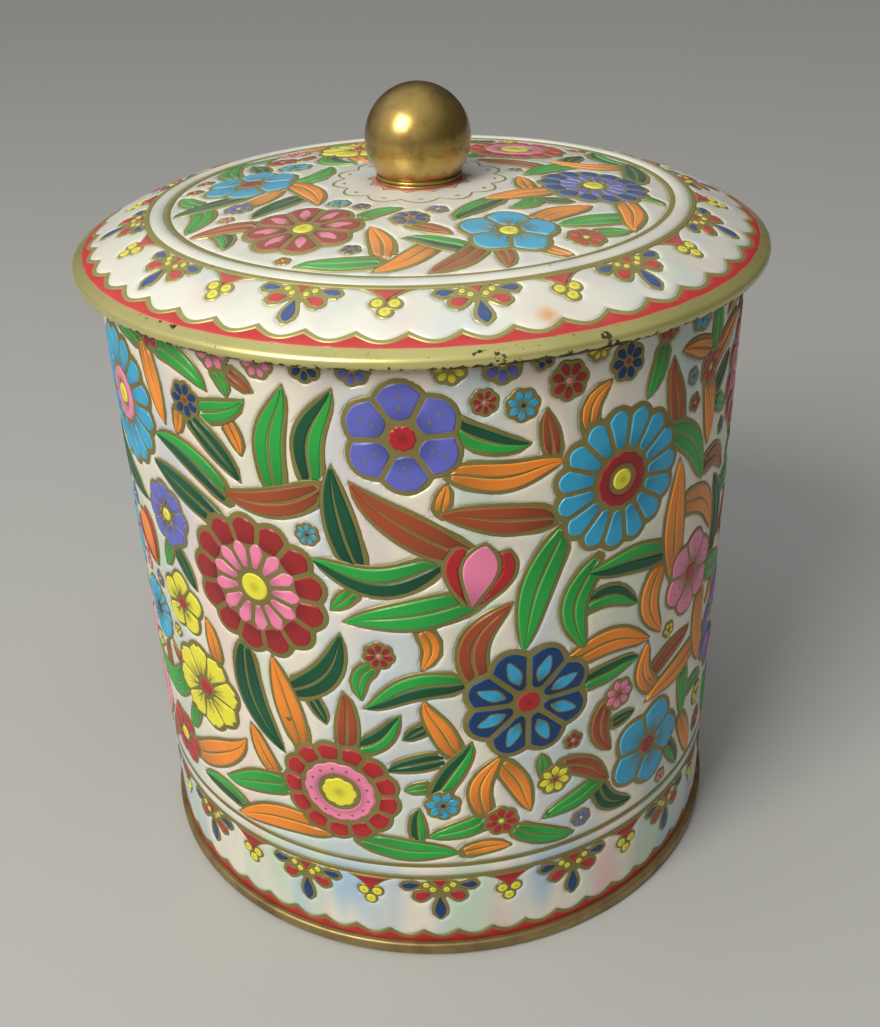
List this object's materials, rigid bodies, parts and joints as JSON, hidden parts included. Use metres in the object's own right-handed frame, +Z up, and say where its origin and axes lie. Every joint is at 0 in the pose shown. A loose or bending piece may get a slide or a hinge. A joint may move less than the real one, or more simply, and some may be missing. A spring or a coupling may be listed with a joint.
{
  "type": "decorative tin",
  "caption": "Round pressed storage tin with a seamed bottom, floral enamel-style print and a domed lift-off lid with a brass ball knob.",
  "frame": {"origin": "centre of the foot ring, on the surface that the tin stands on", "axes": "+Z up along the tin's axis; -Y is the side that the picture shows; the wall's lock seam is at +Y"},
  "size_m": [0.1284, 0.1284, 0.154],
  "materials": {
    "printed_wall": "satin pearl ground with gold lines and enamel-like colours",
    "printed_lid": "satin pearl ground with gold lines and enamel-like colours",
    "copper_gold": "worn gold lacquer on tinplate",
    "gold_lacquer": "gold lacquer on tinplate",
    "brass": "polished, lightly tarnished",
    "plain_brass": "turned",
    "bright_steel": "zinc plated"
  },
  "bodies": {
    "tin": {"body_wall": "printed_wall", "bottom_end": "copper_gold"},
    "lid": {"lid_cover": "printed_lid", "lid_collar": "gold_lacquer", "knob_ball": "brass", "knob_base": "brass", "knob_plug": "plain_brass", "knob_screw": "bright_steel", "screw_washer": "bright_steel"}
  },
  "joints": [
    {"name": "lid_lift", "type": "slide", "parent": "tin", "child": "lid", "axis": [0, 0, 1], "range_m": [0, 0.15]}
  ]
}
